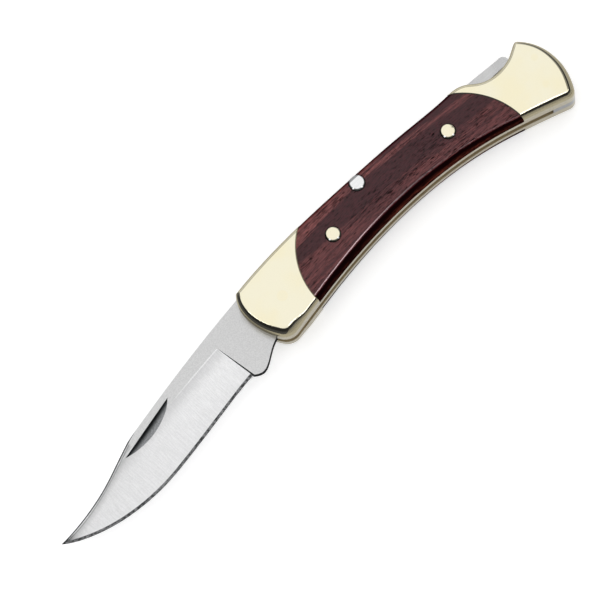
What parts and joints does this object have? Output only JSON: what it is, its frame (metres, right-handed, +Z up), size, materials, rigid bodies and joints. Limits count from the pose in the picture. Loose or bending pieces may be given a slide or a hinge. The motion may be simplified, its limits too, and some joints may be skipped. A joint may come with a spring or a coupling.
{
  "type": "folding pocket knife",
  "caption": "Compact lockback folding knife with a hollow-ground clip-point blade, brass bolsters and liners, wood scales and a thumb-pressed lock bar.",
  "frame": {"origin": "on the blade's pivot axis, at the lower bolster face", "axes": "+X along the handle from the pivot to the butt, +Y towards the spine, +Z up through the thickness, knife lying on its side with the blade open"},
  "size_m": [0.1468, 0.0208, 0.0106],
  "materials": {
    "blade_steel": "satin hollow grind, matte flats",
    "lock_steel": "matte",
    "spring_steel": "plain",
    "spacer_steel": "ground flush",
    "pin_steel": "polished",
    "bolster_brass": "polished",
    "liner_brass": "polished edges",
    "pin_brass": "polished",
    "scale_wood": "dark red-brown, polished"
  },
  "bodies": {
    "frame": {"rear_spacer": "spacer_steel", "pivot_pin": "pin_brass", "lock_bar_pin": "pin_steel", "rear_pin_low": "pin_brass", "rear_pin_high": "pin_brass", "liner_upper": "liner_brass", "front_bolster_upper": "bolster_brass", "rear_bolster_upper": "bolster_brass", "scale_upper": "scale_wood", "front_rivet_upper": "pin_brass", "rear_rivet_upper": "pin_brass", "liner_lower": "liner_brass", "front_bolster_lower": "bolster_brass", "rear_bolster_lower": "bolster_brass", "scale_lower": "scale_wood", "front_rivet_lower": "pin_brass", "rear_rivet_lower": "pin_brass"},
    "blade": {"blade": "blade_steel"},
    "lock_bar": {"lock_bar": "lock_steel"},
    "lock_spring": {"lock_spring": "spring_steel"}
  },
  "joints": [
    {"name": "blade_fold", "type": "hinge", "parent": "frame", "child": "blade", "pos_m": [0, 0, 0], "axis": [0, 0, 1], "range_deg": [0, 169]},
    {"name": "lock_press", "type": "hinge", "parent": "frame", "child": "lock_bar", "pos_m": [0.028, 0.0071, 0], "axis": [0, 0, -1], "range_deg": [0, 4.5], "stiffness_Nm_per_rad": 0.5, "springref_deg": -11.46},
    {"name": "spring_flex", "type": "hinge", "parent": "frame", "child": "lock_spring", "pos_m": [0.0719, -0.0014, 0], "axis": [0, 0, 1], "range_deg": [0, 8.3]}
  ],
  "couplings": [
    {"joint": "spring_flex", "follows": "lock_press", "ratio": 1.83}
  ]
}
